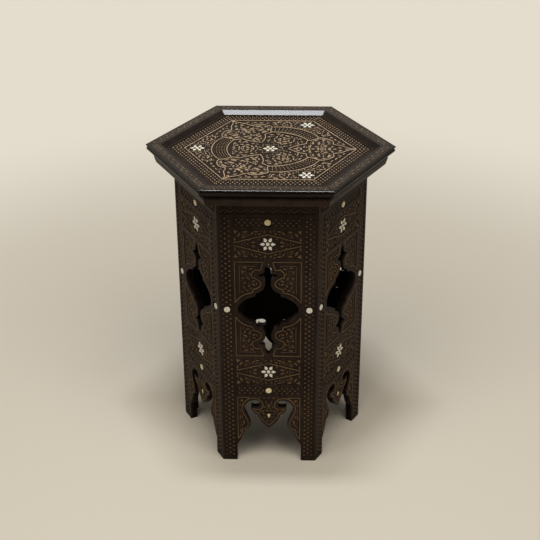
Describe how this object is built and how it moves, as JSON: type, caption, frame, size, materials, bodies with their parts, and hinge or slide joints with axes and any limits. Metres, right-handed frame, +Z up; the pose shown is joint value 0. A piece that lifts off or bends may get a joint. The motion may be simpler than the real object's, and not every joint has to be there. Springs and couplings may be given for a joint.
{
  "type": "side table",
  "caption": "Hexagonal carved side table: a raised-rim tray top on pierced, arched side panels of dark wood, with pale stars and discs let in.",
  "frame": {"origin": "on the floor, under the middle of the table", "axes": "+Z up; the front panel faces -Y; two corners lie on the X axis"},
  "size_m": [0.406, 0.3516, 0.534],
  "materials": {
    "carved_wood": "dark lacquered, relief rubbed to tan",
    "plain_wood": "bare, sawn",
    "bone": "polished bone, set flush with the carving",
    "nail_iron": "plain"
  },
  "bodies": {
    "root": {"side_panel_front": "carved_wood", "rim_rail_front": "carved_wood", "apron_moulding_front": "carved_wood", "top_cleat_front": "plain_wood", "star_inlay_front": "bone", "disc_inlay_front": "bone", "drop_inlay_front": "bone", "side_panel_front_right": "carved_wood", "rim_rail_front_right": "carved_wood", "apron_moulding_front_right": "carved_wood", "top_cleat_front_right": "plain_wood", "star_inlay_front_right": "bone", "disc_inlay_front_right": "bone", "drop_inlay_front_right": "bone", "side_panel_back_right": "carved_wood", "rim_rail_back_right": "carved_wood", "apron_moulding_back_right": "carved_wood", "top_cleat_back_right": "plain_wood", "star_inlay_back_right": "bone", "disc_inlay_back_right": "bone", "drop_inlay_back_right": "bone", "side_panel_back": "carved_wood", "rim_rail_back": "carved_wood", "apron_moulding_back": "carved_wood", "top_cleat_back": "plain_wood", "star_inlay_back": "bone", "disc_inlay_back": "bone", "drop_inlay_back": "bone", "side_panel_back_left": "carved_wood", "rim_rail_back_left": "carved_wood", "apron_moulding_back_left": "carved_wood", "top_cleat_back_left": "plain_wood", "star_inlay_back_left": "bone", "disc_inlay_back_left": "bone", "drop_inlay_back_left": "bone", "side_panel_front_left": "carved_wood", "rim_rail_front_left": "carved_wood", "apron_moulding_front_left": "carved_wood", "top_cleat_front_left": "plain_wood", "star_inlay_front_left": "bone", "disc_inlay_front_left": "bone", "drop_inlay_front_left": "bone", "corner_block_right": "plain_wood", "corner_block_back_right": "plain_wood", "corner_block_back_left": "plain_wood", "corner_block_left": "plain_wood", "corner_block_front_left": "plain_wood", "corner_block_front_right": "plain_wood", "top_board": "carved_wood", "top_star_inlay": "bone", "board_nails": "nail_iron", "panel_nails": "nail_iron"}
  },
  "joints": []
}
